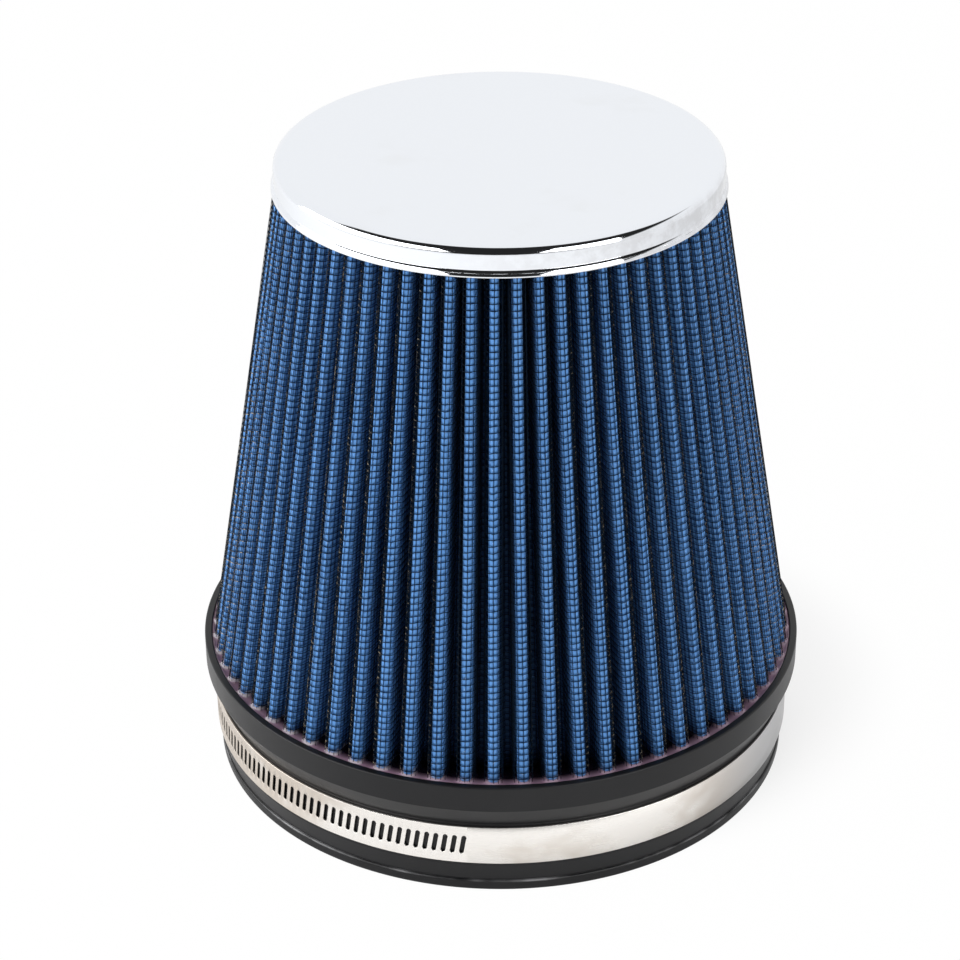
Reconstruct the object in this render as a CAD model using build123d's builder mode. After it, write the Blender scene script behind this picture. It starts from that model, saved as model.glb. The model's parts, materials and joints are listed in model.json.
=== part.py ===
from build123d import *
import math
import os

# Cone air filter, in millimetres. +Z is up and -Y is the front.
# The origin is on the filter's axis, at the foot of the neck.

# Rubber base: bore, walls and steps across the ring
bore_radius = 76.2
neck_wall = 11.8
bead_inset = 0.3
foot_inset = 0.8
rim_overhang = 3.3
rim_wall = 2.2
trough_wall = 1.6
bore_chamfer = 1.5
bead_chamfer = 0.9
rim_chamfer = 0.5

# Rubber base: heights, from the foot upwards
bead_height = 3.6
foot_height = 5.4
band_drop = 1.45
band_headroom = 0.8
flare_height = 6.8
rim_height = 7.95
trough_depth = 7.7
potting_drop = 1.2

# Pleat pack
pleat_count = 66
pleat_height = 148.9
crown_width_base = 4.1
crown_width_top = 3.3
media_thickness = 1.0
pleat_angle = -91.25
crown_facets = 4
valley_facets = 2

# Chromed cap and the resin under it
cap_radius = 64.8
cap_height = 8.7
cap_sheet = 0.7
cap_edge_radius = 2.2
cap_edge_facets = 3
hem_height = 1.8
hem_flare = 0.3
top_potting_depth = 6.1

# Clamp band
band_width = 12.7
band_thickness = 0.7
slot_width = 1.25
slot_height = 6.3
slot_pitch = 2.7
slot_lean = -9.0
slot_end_margin = 2.0
first_slot_angle = -97.1
tail_length = 12.0
tail_corner = 3.0
tail_lift_run = 27.0

# Clamp housing and worm screw
housing_angle = -210.0
housing_length = 14.0
housing_wall = 1.0
shoulder_height = 3.4
screw_core_radius = 3.5
thread_depth = 1.0
journal_radius = 2.4
head_across_flats = 7.0
head_length = 4.6
head_collar_length = 0.8
head_slot_width = 1.2
head_slot_depth = 1.8
tip_collar_length = 0.8

# Clearances
potting_gap = 0.1
pleat_side_gap = 0.6
pleat_bore_gap = 0.3
pleat_cap_gap = 0.25
band_seat_gap = 0.05
band_lap_gap = 0.12
housing_side_gap = 0.2
housing_foot_gap = 0.35
turning_gap = 0.3
journal_gap = 0.06

# Heights that follow from the base
foot_top_z = bead_height + foot_height
band_low_z = foot_top_z + band_drop
band_mid_z = band_low_z + band_width / 2
flare_low_z = band_low_z + band_width + band_headroom
rim_low_z = flare_low_z + flare_height
rim_top_z = rim_low_z + rim_height
trough_z = rim_top_z - trough_depth
potting_z = rim_top_z - potting_drop

# Heights that follow from the pleats
pleat_top_z = potting_z + pleat_height
cap_inside_z = pleat_top_z + top_potting_depth
cap_top_z = cap_inside_z + cap_sheet
cap_low_z = cap_top_z - cap_height

# Radii that follow from the bore and the cap
neck_radius = bore_radius + neck_wall
bead_radius = neck_radius - bead_inset
foot_radius = neck_radius - foot_inset
rim_radius = neck_radius + rim_overhang
trough_outer_radius = rim_radius - rim_wall
trough_inner_radius = bore_radius + trough_wall
skirt_radius = cap_radius - hem_flare
cap_inner_radius = skirt_radius - cap_sheet
crown_radius_base = trough_outer_radius - pleat_side_gap
crown_radius_top = cap_inner_radius - pleat_cap_gap
pleat_depth = crown_radius_base - trough_inner_radius - pleat_bore_gap

os.makedirs("parts", exist_ok=True)


# The rubber base is one moulded ring, turned from its half section
with BuildPart() as rubber_base:
    with BuildSketch(Plane.XZ):
        with BuildLine():
            Polyline(
                (bore_radius + bore_chamfer, 0),
                (bead_radius - bead_chamfer, 0),
                (bead_radius, bead_chamfer),
                (bead_radius, bead_height - bead_chamfer),
                (foot_radius, bead_height),
                (neck_radius, foot_top_z),
                (neck_radius, flare_low_z),
                (rim_radius, rim_low_z),
                (rim_radius, rim_top_z - rim_chamfer),
                (rim_radius - rim_chamfer, rim_top_z),
                (trough_outer_radius, rim_top_z),
                (trough_outer_radius, trough_z),
                (trough_inner_radius, trough_z),
                (trough_inner_radius, potting_z),
                (bore_radius, potting_z),
                (bore_radius, bore_chamfer),
                close=True,
            )
        make_face()
    revolve(axis=Axis.Z)
rubber_base.part.label = "rubber_base"
export_step(rubber_base.part, "parts/rubber_base.step")


# The lower resin ring fills the trough round the pleat ends
with BuildPart() as base_potting:
    with BuildSketch(Plane.XY.offset(trough_z)):
        Circle(trough_outer_radius - potting_gap)
        Circle(trough_inner_radius + potting_gap, mode=Mode.SUBTRACT)
    extrude(amount=potting_z - trough_z)
base_potting.part.label = "base_potting"
export_step(base_potting.part, "parts/base_potting.step")


def two_arms(first_length, first_bearing, second_length, second_bearing, level):
    """Point at a level, reached from the axis along two lengths, each on its own bearing."""
    return Vector(
        first_length * math.cos(first_bearing) + second_length * math.cos(second_bearing),
        first_length * math.sin(first_bearing) + second_length * math.sin(second_bearing),
        level,
    )


def pleat_outline(level, crown_radius, crown_width, inset):
    """Corners of the whole pleated ring at one level.

    Each pleat has a round crown on its own radius, two flanks parallel to that
    radius, and shares a round valley on the radius midway to the next pleat.
    The inset moves every face inwards from the outer face of the media.
    """
    half_pitch = math.pi / pleat_count
    half_width = crown_width / 2 - inset
    crown_centre = crown_radius - crown_width / 2
    valley_floor = crown_radius - pleat_depth + media_thickness
    valley_centre = (valley_floor - crown_width / 2) / (1 - math.sin(half_pitch))
    valley_round = valley_centre * math.sin(half_pitch) - half_width
    valley_sweep = math.pi - 2 * half_pitch
    corners = []
    for pleat in range(pleat_count):
        crown_turn = math.radians(pleat_angle) + 2 * half_pitch * pleat
        valley_turn = crown_turn + half_pitch
        for step in range(crown_facets + 1):
            bearing = crown_turn + math.pi * (step / crown_facets - 0.5)
            corners.append(two_arms(crown_centre, crown_turn, half_width, bearing, level))
        for step in range(valley_facets + 1):
            bearing = valley_turn + math.pi + valley_sweep * (0.5 - step / valley_facets)
            corners.append(two_arms(valley_centre, valley_turn, valley_round, bearing, level))
    return corners


def folded_wall(low_corners, high_corners):
    """Flat faces of the folded sheet, one from each edge of the low outline to the high one."""
    low_edges = zip(low_corners, low_corners[1:] + low_corners[:1])
    high_edges = zip(high_corners, high_corners[1:] + high_corners[:1])
    return [
        Face(Wire.make_polygon([low_start, low_end, high_end, high_start]))
        for (low_start, low_end), (high_start, high_end) in zip(low_edges, high_edges)
    ]


# The pleat pack runs straight from its outline at the base to its outline at the top
outer_low = pleat_outline(potting_z, crown_radius_base, crown_width_base, 0)
outer_high = pleat_outline(pleat_top_z, crown_radius_top, crown_width_top, 0)
inner_low = pleat_outline(potting_z, crown_radius_base, crown_width_base, media_thickness)
inner_high = pleat_outline(pleat_top_z, crown_radius_top, crown_width_top, media_thickness)
pleat_faces = folded_wall(outer_low, outer_high) + folded_wall(inner_low, inner_high)
for outer_edge, inner_edge in ((outer_low, inner_low), (outer_high, inner_high)):
    pleat_faces.append(Face(Wire.make_polygon(outer_edge), [Wire.make_polygon(inner_edge)]))
with BuildPart() as pleated_media:
    add(Solid(Shell(pleat_faces)))
pleated_media.part.label = "pleated_media"
export_step(pleated_media.part, "parts/pleated_media.step")


# The upper resin disc closes the cone and glues the cap on
with BuildPart() as top_potting:
    with BuildSketch(Plane.XY.offset(pleat_top_z)):
        Circle(cap_inner_radius - potting_gap)
    extrude(amount=top_potting_depth)
top_potting.part.label = "top_potting"
export_step(top_potting.part, "parts/top_potting.step")


# The cap is drawn from one sheet: flat top, rounded edge, straight skirt, flared hem
with BuildPart() as top_cap:
    edge_centre = (skirt_radius - cap_edge_radius, cap_top_z - cap_edge_radius)
    edge_turns = [math.pi / 2 * (1 - step / cap_edge_facets) for step in range(cap_edge_facets + 1)]
    with BuildSketch(Plane.XZ):
        with BuildLine():
            Polyline(
                (0, cap_top_z),
                *[
                    (
                        edge_centre[0] + cap_edge_radius * math.cos(turn),
                        edge_centre[1] + cap_edge_radius * math.sin(turn),
                    )
                    for turn in edge_turns
                ],
                (skirt_radius, cap_low_z + hem_height),
                (cap_radius, cap_low_z + hem_height / 2),
                (cap_radius, cap_low_z),
                (cap_radius - cap_sheet, cap_low_z),
                (cap_inner_radius, cap_low_z + hem_height),
                (cap_inner_radius, cap_inside_z),
                (0, cap_inside_z),
                close=True,
            )
        make_face()
    revolve(axis=Axis.Z)
top_cap.part.label = "top_cap"
export_step(top_cap.part, "parts/top_cap.step")


# The strip's middle line runs clockwise round the neck, then on a wider arc that
# starts tangent to the neck and lifts the tail over the strip's own plain end
strip_radius = neck_radius + band_seat_gap + band_thickness / 2
housing_half_angle = math.degrees(housing_length / 2 / strip_radius)
plain_end_angle = housing_angle + housing_half_angle
lift_angle = plain_end_angle + tail_lift_run
lap_rise = band_thickness + band_lap_gap
lift_offset = lap_rise / (1 - math.cos(math.radians(tail_lift_run)))
lift_radius = strip_radius + lift_offset
lift_centre = Vector(-lift_offset, 0).rotate(Axis.Z, lift_angle)
tail_end_angle = housing_angle - housing_half_angle - math.degrees(tail_length / strip_radius)
tail_sweep = (lift_angle - tail_end_angle) * strip_radius / lift_radius
slotted_start_angle = first_slot_angle + math.degrees(slot_pitch / strip_radius)
slotted_sweep = slotted_start_angle - lift_angle
plain_sweep = 360 + plain_end_angle - slotted_start_angle
slotted_run = math.radians(slotted_sweep) * strip_radius
tail_run = math.radians(tail_sweep) * lift_radius
slot_room = slotted_run + tail_run - slot_pitch - slot_end_margin
slot_count = int(slot_room / slot_pitch) + 1


def strip_plane(run):
    """Plane on the strip's middle line, a given run clockwise from the slotted start."""
    if run <= slotted_run:
        centre = Vector(0, 0)
        radius = strip_radius
        bearing = slotted_start_angle - math.degrees(run / strip_radius)
    else:
        centre = lift_centre
        radius = lift_radius
        bearing = lift_angle - math.degrees((run - slotted_run) / lift_radius)
    outward = Vector(1, 0).rotate(Axis.Z, bearing)
    place = centre + outward * radius + Vector(0, 0, band_mid_z)
    return Plane(origin=place, x_dir=Vector(0, 1).rotate(Axis.Z, bearing), z_dir=outward)


# The clamp band is one strip: the slotted run with its tail, then the plain run
with BuildPart() as clamp_band:
    half_band = band_thickness / 2
    with BuildSketch(Plane.XY.offset(band_low_z)):
        with BuildLine():
            outer_run = CenterArc((0, 0), strip_radius + half_band, slotted_start_angle, -slotted_sweep)
            outer_tail = CenterArc(lift_centre, lift_radius + half_band, lift_angle, -tail_sweep)
            inner_tail = CenterArc(lift_centre, lift_radius - half_band, lift_angle, -tail_sweep)
            inner_run = CenterArc((0, 0), strip_radius - half_band, slotted_start_angle, -slotted_sweep)
            Line(outer_tail @ 1, inner_tail @ 1)
            Line(outer_run @ 0, inner_run @ 0)
        make_face()
    extrude(amount=band_width)
    tail_tip = strip_plane(slotted_run + tail_run).origin
    across_edges = clamp_band.edges().filter_by(GeomType.LINE).filter_by(Plane.XY)
    fillet(across_edges.sort_by_distance(tail_tip)[:2], tail_corner)
    with BuildSketch(*[strip_plane(slot_pitch * (slot + 1)) for slot in range(slot_count)]):
        Rectangle(slot_width, slot_height, rotation=slot_lean)
    extrude(amount=band_thickness, both=True, mode=Mode.SUBTRACT)
    with BuildSketch(Plane.XY.offset(band_low_z)):
        with BuildLine():
            outer_plain = CenterArc((0, 0), strip_radius + half_band, slotted_start_angle, plain_sweep)
            inner_plain = CenterArc((0, 0), strip_radius - half_band, slotted_start_angle, plain_sweep)
            Line(outer_plain @ 0, inner_plain @ 0)
            Line(outer_plain @ 1, inner_plain @ 1)
        make_face()
    extrude(amount=band_width)
clamp_band.part.label = "clamp_band"
export_step(clamp_band.part, "parts/clamp_band.step")


# The worm screw lies along the band, just clear of the tail that passes under its head
head_corner_radius = head_across_flats / 2 / math.cos(math.pi / 6)
head_end = housing_length / 2 + turning_gap + head_collar_length + head_length
head_bearing = math.radians(lift_angle - housing_angle) + head_end / strip_radius
tail_rise = lift_offset * (1 - math.cos(head_bearing))
tail_outer_radius = strip_radius + tail_rise + half_band
screw_distance = tail_outer_radius + turning_gap + head_corner_radius
tunnel_radius = screw_core_radius + thread_depth + turning_gap
arch_radius = tunnel_radius + housing_wall
channel_half_width = band_width / 2 + housing_side_gap
housing_half_width = channel_half_width + housing_wall
housing_foot = neck_radius + housing_foot_gap
channel_top = tail_outer_radius + turning_gap
shoulder_top = housing_foot + shoulder_height
bearing_radius = journal_radius + journal_gap

# Across the band at the housing: x leads away from the filter's axis, y is up and
# z follows the band clockwise, from the middle of the housing towards the screw's head
across_band = Plane(
    origin=(0, 0, band_mid_z),
    x_dir=Vector(1, 0).rotate(Axis.Z, housing_angle),
    z_dir=Vector(0, -1).rotate(Axis.Z, housing_angle),
)
housing_start = across_band.offset(-housing_length / 2)


# The housing is a pressed tunnel whose feet straddle both layers of the band
with BuildPart() as clamp_housing:
    with BuildSketch(housing_start):
        with Locations((housing_foot, 0)):
            Rectangle(
                shoulder_top - housing_foot, 2 * housing_half_width, align=(Align.MIN, Align.CENTER)
            )
            Rectangle(
                screw_distance - housing_foot, 2 * arch_radius, align=(Align.MIN, Align.CENTER)
            )
        with Locations((screw_distance, 0)):
            Circle(arch_radius)
    extrude(amount=housing_length)
    with BuildSketch(housing_start):
        with Locations((housing_foot, 0)):
            Rectangle(
                channel_top - housing_foot, 2 * channel_half_width, align=(Align.MIN, Align.CENTER)
            )
        with Locations((screw_distance, 0)):
            Circle(bearing_radius)
    extrude(amount=housing_length, mode=Mode.SUBTRACT)
    with BuildSketch(housing_start.offset(housing_wall)):
        with Locations((channel_top, 0)):
            Rectangle(
                screw_distance - channel_top, 2 * tunnel_radius, align=(Align.MIN, Align.CENTER)
            )
        with Locations((screw_distance, 0)):
            Circle(tunnel_radius)
    extrude(amount=housing_length - 2 * housing_wall, mode=Mode.SUBTRACT)
clamp_housing.part.label = "clamp_housing"
export_step(clamp_housing.part, "parts/clamp_housing.step")


# The screw has a core between two journals, a collar on its tip and a slotted hex head
with BuildPart() as clamp_screw:
    core_length = housing_length - 2 * housing_wall - 2 * turning_gap
    journal_length = housing_length + 2 * turning_gap
    with BuildSketch(across_band.offset(-journal_length / 2)):
        with Locations((screw_distance, 0)):
            Circle(journal_radius)
    extrude(amount=journal_length)
    with BuildSketch(across_band.offset(-core_length / 2)):
        with Locations((screw_distance, 0)):
            Circle(screw_core_radius)
    extrude(amount=core_length)
    with BuildSketch(across_band.offset(-journal_length / 2)):
        with Locations((screw_distance, 0)):
            Circle(screw_core_radius)
    extrude(amount=-tip_collar_length)
    with BuildSketch(across_band.offset(journal_length / 2)):
        with Locations((screw_distance, 0)):
            Circle(head_across_flats / 2)
    extrude(amount=head_collar_length)
    with BuildSketch(across_band.offset(journal_length / 2 + head_collar_length)):
        with Locations((screw_distance, 0)):
            RegularPolygon(head_across_flats / 2, 6, major_radius=False)
    extrude(amount=head_length)
    with BuildSketch(across_band.offset(journal_length / 2 + head_collar_length + head_length)):
        with Locations((screw_distance, 0)):
            Rectangle(head_slot_width, 2 * head_corner_radius)
    extrude(amount=-head_slot_depth, mode=Mode.SUBTRACT)
clamp_screw.part.label = "clamp_screw"
export_step(clamp_screw.part, "parts/clamp_screw.step")
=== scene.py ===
import json
import math

import bpy
import numpy as np
from mathutils import Matrix, Vector


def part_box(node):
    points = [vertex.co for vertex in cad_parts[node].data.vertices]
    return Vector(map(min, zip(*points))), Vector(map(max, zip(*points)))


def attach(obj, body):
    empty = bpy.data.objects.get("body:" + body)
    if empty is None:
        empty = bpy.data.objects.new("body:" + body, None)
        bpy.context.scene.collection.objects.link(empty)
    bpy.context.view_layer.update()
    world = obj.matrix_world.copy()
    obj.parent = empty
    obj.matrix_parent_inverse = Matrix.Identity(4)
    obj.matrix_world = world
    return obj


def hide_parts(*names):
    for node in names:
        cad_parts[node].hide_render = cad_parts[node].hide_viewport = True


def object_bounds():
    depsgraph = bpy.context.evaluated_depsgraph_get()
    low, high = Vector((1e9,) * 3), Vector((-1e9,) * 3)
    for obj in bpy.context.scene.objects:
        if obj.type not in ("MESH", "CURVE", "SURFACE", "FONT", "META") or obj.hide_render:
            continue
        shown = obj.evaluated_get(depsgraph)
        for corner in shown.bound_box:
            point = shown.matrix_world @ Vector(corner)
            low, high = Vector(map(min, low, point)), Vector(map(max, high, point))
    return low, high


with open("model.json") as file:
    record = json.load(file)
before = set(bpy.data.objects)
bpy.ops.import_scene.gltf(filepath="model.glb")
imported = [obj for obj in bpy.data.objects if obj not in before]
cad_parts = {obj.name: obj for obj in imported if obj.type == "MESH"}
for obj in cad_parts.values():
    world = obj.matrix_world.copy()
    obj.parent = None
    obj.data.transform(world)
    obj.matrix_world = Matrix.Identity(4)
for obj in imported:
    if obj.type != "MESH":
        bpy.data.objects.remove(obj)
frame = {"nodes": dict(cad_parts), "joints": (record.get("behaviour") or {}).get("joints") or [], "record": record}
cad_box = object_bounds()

MM = 0.001

# Sizes read from the frame, in metres
base_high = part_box("rubber_base")[1]
resin_low, resin_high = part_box("base_potting")
media_low, media_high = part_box("pleated_media")
cap_low, cap_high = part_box("top_cap")
band_low, band_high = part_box("clamp_band")
mounts = {mount["name"]: mount for mount in frame["record"]["mounts"]}
screw_joint = frame["joints"][0]
bore_radius = mounts["neck_bore"]["dims"]["r_mm"] * MM
rim_radius = base_high.x
rim_top = base_high.z
resin_top = resin_high.z
cap_radius = cap_high.x
cap_top = cap_high.z
cap_foot = cap_low.z
band_middle = (band_low.z + band_high.z) / 2


# Meshes

def grid_faces(rows, columns, wrap_rows, wrap_columns):
    """Quads between neighbouring rows and columns of a grid, and each corner's row and column.

    A corner past the last row or column keeps its own count, so that a coordinate
    can run on over the seam while the point is shared.
    """
    row, column = np.meshgrid(
        np.arange(rows if wrap_rows else rows - 1),
        np.arange(columns if wrap_columns else columns - 1),
        indexing="ij",
    )
    corner_rows = np.stack([row, row, row + 1, row + 1], -1).reshape(-1, 4)
    corner_columns = np.stack([column, column + 1, column + 1, column], -1).reshape(-1, 4)
    faces = corner_rows % rows * columns + corner_columns % columns
    return faces, corner_rows, corner_columns


def patch(points, wrap_rows=False, wrap_columns=False, ends="", uv=None):
    """Points, faces and corner coordinates of one grid, or of many copies of it.

    points has the shape (copies, rows, columns, 3). ends names the rows, first or
    last, that are closed with one flat face. uv holds two arrays over the rows
    and columns, one longer each way than the points where a seam wraps.
    """
    copies, rows, columns = points.shape[:3]
    faces, corner_rows, corner_columns = grid_faces(rows, columns, wrap_rows, wrap_columns)
    shift = np.arange(copies)[:, None, None] * rows * columns
    groups = [(faces + shift).reshape(-1, 4)]
    ring = np.arange(columns)
    if "first" in ends:
        groups.append(ring[::-1] + shift[:, :, 0])
    if "last" in ends:
        groups.append(ring + (rows - 1) * columns + shift[:, :, 0])
    corners = None
    if uv is not None:
        across, along = uv
        corners = np.stack(
            [across[corner_rows, corner_columns], along[corner_rows, corner_columns]], -1
        ).reshape(-1, 2)
        corners = np.tile(corners, (copies, 1))
    return points.reshape(-1, 3), groups, corners


def make_piece(name, patches, material, body="filter", stands_for=(), values=None):
    """One object from its patches, riding on a body, with smooth faces and one material.

    values holds named numbers, one for each point, that the material reads.
    """
    counts = np.cumsum([0] + [len(points) for points, _, _ in patches])
    points = np.concatenate([points for points, _, _ in patches])
    groups = [faces + shift for (_, many, _), shift in zip(patches, counts) for faces in many]
    sizes = np.concatenate([np.full(len(faces), faces.shape[1]) for faces in groups])
    corners = np.concatenate([faces.ravel() for faces in groups])
    mesh = bpy.data.meshes.new(name)
    mesh.vertices.add(len(points))
    mesh.vertices.foreach_set("co", points.astype(np.float32).ravel())
    mesh.loops.add(len(corners))
    mesh.loops.foreach_set("vertex_index", corners.astype(np.int32))
    mesh.polygons.add(len(sizes))
    mesh.polygons.foreach_set("loop_start", (np.cumsum(sizes) - sizes).astype(np.int32))
    mesh.polygons.foreach_set("use_smooth", np.ones(len(sizes), bool))
    if all(corner is not None for _, _, corner in patches):
        places = np.concatenate([corner for _, _, corner in patches])
        layer = mesh.uv_layers.new(name="surface")
        layer.uv.foreach_set("vector", places.astype(np.float32).ravel())
    for label, numbers in (values or {}).items():
        attribute = mesh.attributes.new(label, "FLOAT", "POINT")
        attribute.data.foreach_set("value", numbers.astype(np.float32).ravel())
    mesh.update(calc_edges=True)
    mesh.validate()
    mesh.materials.append(material)
    piece = bpy.data.objects.new(name, mesh)
    bpy.context.scene.collection.objects.link(piece)
    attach(piece, body)
    if stands_for:
        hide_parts(*stands_for)


def rounded_outline(profile, steps=6, closed=True, guard=0.12 * MM):
    """Outline whose corners are arcs. An open outline keeps its two end corners as points.

    Each row of the profile is one corner, its radius, its height and the round of
    its arc. Each arc touches the two edges at a distance of its round times the
    tangent of half the turn. A guard point on each edge, just past the arc, keeps
    the flat between two arcs flat in the shading.
    """
    profile = np.asarray(profile, float)
    corners = profile[:, :2]
    rounds = profile[:, 2:]
    back = np.roll(corners, 1, 0) - corners
    ahead = np.roll(corners, -1, 0) - corners
    back /= np.linalg.norm(back, axis=1, keepdims=True)
    ahead /= np.linalg.norm(ahead, axis=1, keepdims=True)
    opening = np.arccos(np.clip((back * ahead).sum(1, keepdims=True), -1, 1))
    reach = rounds / np.tan(opening / 2)
    middle = back + ahead
    middle /= np.linalg.norm(middle, axis=1, keepdims=True)
    centre = corners + middle * rounds / np.sin(opening / 2)
    start = (corners + back * reach - centre) / rounds
    end = (corners + ahead * reach - centre) / rounds
    sweep = (np.pi - opening)[:, :, None]
    share = np.linspace(0, 1, steps + 1)[None, :, None]
    arc = np.sin((1 - share) * sweep) * start[:, None] + np.sin(share * sweep) * end[:, None]
    arc = centre[:, None] + rounds[:, None] * arc / np.sin(sweep)
    before = corners + back * (reach + guard)
    after = corners + ahead * (reach + guard)
    rounded = np.concatenate([before[:, None], arc, after[:, None]], 1)
    if closed:
        return rounded.reshape(-1, 2)
    return np.concatenate([corners[:1], rounded[1:-1].reshape(-1, 2), corners[-1:]])


def turned(outline, steps):
    """Outline of radius and height turned round the filter's axis.

    x is the radius times the cosine of the bearing, y times its sine.
    """
    bearing = np.linspace(0, 2 * np.pi, steps, endpoint=False)
    radius, height = outline[:, 0, None], outline[:, 1, None]
    spread = np.ones_like(bearing)
    return np.stack(
        [radius * np.cos(bearing), radius * np.sin(bearing), height * spread], -1
    )[None]


# Shader sums

class Tone:
    """A socket of a node tree. Operators add Math nodes, and node() adds any other node."""

    def __init__(self, tree, socket=None):
        self.tree = tree
        self.socket = socket

    def node(self, kind, settings=None, sockets=None, output=0):
        """A new node: its settings first, then the values or links of its sockets."""
        made = self.tree.nodes.new(kind)
        for name, value in (settings or {}).items():
            setattr(made, name, value)
        for name, value in (sockets or {}).items():
            if isinstance(value, Tone):
                self.tree.links.new(value.socket, made.inputs[name])
            else:
                made.inputs[name].default_value = value
        return Tone(self.tree, made.outputs[output])

    def sum(self, operation, *values):
        return self.node("ShaderNodeMath", {"operation": operation}, dict(enumerate(values)))

    def __add__(self, other):
        return self.sum("ADD", self, other)

    def __radd__(self, other):
        return self.sum("ADD", other, self)

    def __sub__(self, other):
        return self.sum("SUBTRACT", self, other)

    def __rsub__(self, other):
        return self.sum("SUBTRACT", other, self)

    def __mul__(self, other):
        return self.sum("MULTIPLY", self, other)

    def __rmul__(self, other):
        return self.sum("MULTIPLY", other, self)

    def __pow__(self, other):
        return self.sum("POWER", self, other)

    def sine(self):
        return self.sum("SINE", self)

    def size(self):
        return self.sum("ABSOLUTE", self)

    def larger(self, other):
        return self.sum("MAXIMUM", self, other)

    def ramp(self, low, high, start=0.0, end=1.0):
        """Smooth rise from start at low to end at high."""
        return self.node(
            "ShaderNodeMapRange",
            {"interpolation_type": "SMOOTHSTEP"},
            {"Value": self, "From Min": low, "From Max": high, "To Min": start, "To Max": end},
        )

    def parts(self):
        """The three parts of a vector."""
        split = self.node("ShaderNodeSeparateXYZ", None, {"Vector": self})
        return [Tone(self.tree, socket) for socket in split.socket.node.outputs]

    def noise(self, scale, detail=2.0, roughness=0.5):
        """Smooth noise between 0 and 1 at this vector, the scale being its waves a unit."""
        return self.node(
            "ShaderNodeTexNoise",
            None,
            {"Vector": self, "Scale": scale, "Detail": detail, "Roughness": roughness},
        )

    def stretched(self, x, y, z):
        """This vector with its three parts multiplied."""
        return self.node(
            "ShaderNodeVectorMath", {"operation": "MULTIPLY"}, {0: self, 1: (x, y, z)}
        )

    def between(self, first, second):
        """Colour between two colours, this being the share of the second."""
        ends = [colour if isinstance(colour, Tone) else (*colour, 1) for colour in (first, second)]
        return self.node(
            "ShaderNodeMix", {"data_type": "RGBA"}, {0: self, 6: ends[0], 7: ends[1]}, output=2
        )

    def bump(self, distance, strength=1.0):
        """Normal of a surface raised by this height."""
        return self.node(
            "ShaderNodeBump", None, {"Height": self, "Distance": distance, "Strength": strength}
        )


def new_material(name):
    """An empty material, its node tree's Tone and its Object coordinates."""
    material = bpy.data.materials.new(name)
    material.use_nodes = True
    material.node_tree.nodes.clear()
    tree = Tone(material.node_tree)
    return material, tree, tree.node("ShaderNodeTexCoord", None, None, "Object")


def end_tree(tree, shader, output_kind):
    """Ends a node tree in one shader."""
    output = tree.tree.nodes.new(output_kind)
    tree.tree.links.new(shader.socket, output.inputs["Surface"])


def finish_material(material, tree, sockets):
    """Ends a material in one Principled shader with these sockets."""
    shader = tree.node("ShaderNodeBsdfPrincipled", None, sockets)
    end_tree(tree, shader, "ShaderNodeOutputMaterial")
    return material


def point_value(tree, name):
    """The named number that a piece carries at each of its points."""
    return tree.node("ShaderNodeAttribute", {"attribute_name": name}, None, "Fac")


def left_share(place):
    """Most of the whole on the filter's left, and little of it from its middle to the right."""
    return place.parts()[0].ramp(-0.06, 0.0, 0.85, 0.15)


# Finishes

def chrome_finish():
    """Bright chrome with faint handling smudges and a slow ripple.

    The drawn skirt below the cap's edge is mottled, and painted duller to the right as a dim painted reflection.
    """
    material, tree, place = new_material("chrome")
    bright = (0.885, 0.912, 0.955)
    smudged = (0.85, 0.87, 0.90)
    painted_dim = (0.70, 0.71, 0.735)
    x, _, z = place.parts()
    smudge = place.noise(38, 3, 0.55).ramp(0.56, 0.78)
    haze = place.noise(220, 3, 0.6)
    skirt = z.ramp(cap_top - cap_edge, cap_top, 1.0, 0.0)
    # Mottle, with painted reflection: the skirt turns duller towards the right
    mottle_and_shade = skirt * x.ramp(-0.04, 0.05) * haze.ramp(0.35, 0.65, 0.4, 1.0)
    ripple = place.noise(24, 1, 0.4) + 0.3 * skirt * haze
    return finish_material(material, tree, {
        "Base Color": mottle_and_shade.between((smudge * 0.6).between(bright, smudged), painted_dim),
        "Metallic": 1.0,
        "Roughness": 0.045 + 0.03 * haze + 0.06 * smudge,
        "Normal": ripple.bump(0.25 * MM, 0.25),
    })


def rubber_finish():
    """Satin moulded rubber, with a faint bloom, fine flow marks and a painted highlight in patches along the
    bead's edge.
    """
    material, tree, place = new_material("rubber")
    black = (0.006, 0.006, 0.007)
    bloomed = (0.012, 0.012, 0.013)
    edge_highlight_grey = (0.30, 0.30, 0.31)
    bloom = place.noise(26, 4, 0.6).ramp(0.35, 0.75)
    grain = place.noise(2600, 2, 0.6)
    flow = place.stretched(60, 60, 1800).noise(1, 2, 0.6)
    off_edge = (place.parts()[2] - bead_height + 0.25 * MM).size()
    # painted highlight: a pale patchy line along the bead's top edge
    painted_edge_highlight = off_edge.ramp(0.1 * MM, 0.5 * MM, 1.0, 0.0) * place.noise(42, 3, 0.6).ramp(0.45, 0.7)
    return finish_material(material, tree, {
        "Base Color": (painted_edge_highlight * 0.8).between((bloom * 0.7).between(black, bloomed), edge_highlight_grey),
        "Roughness": 0.30 + 0.1 * bloom + 0.06 * grain,
        "Specular IOR Level": 0.31,
        "Normal": (0.6 * grain + 0.4 * flow).bump(0.05 * MM, 0.35),
    })


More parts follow.
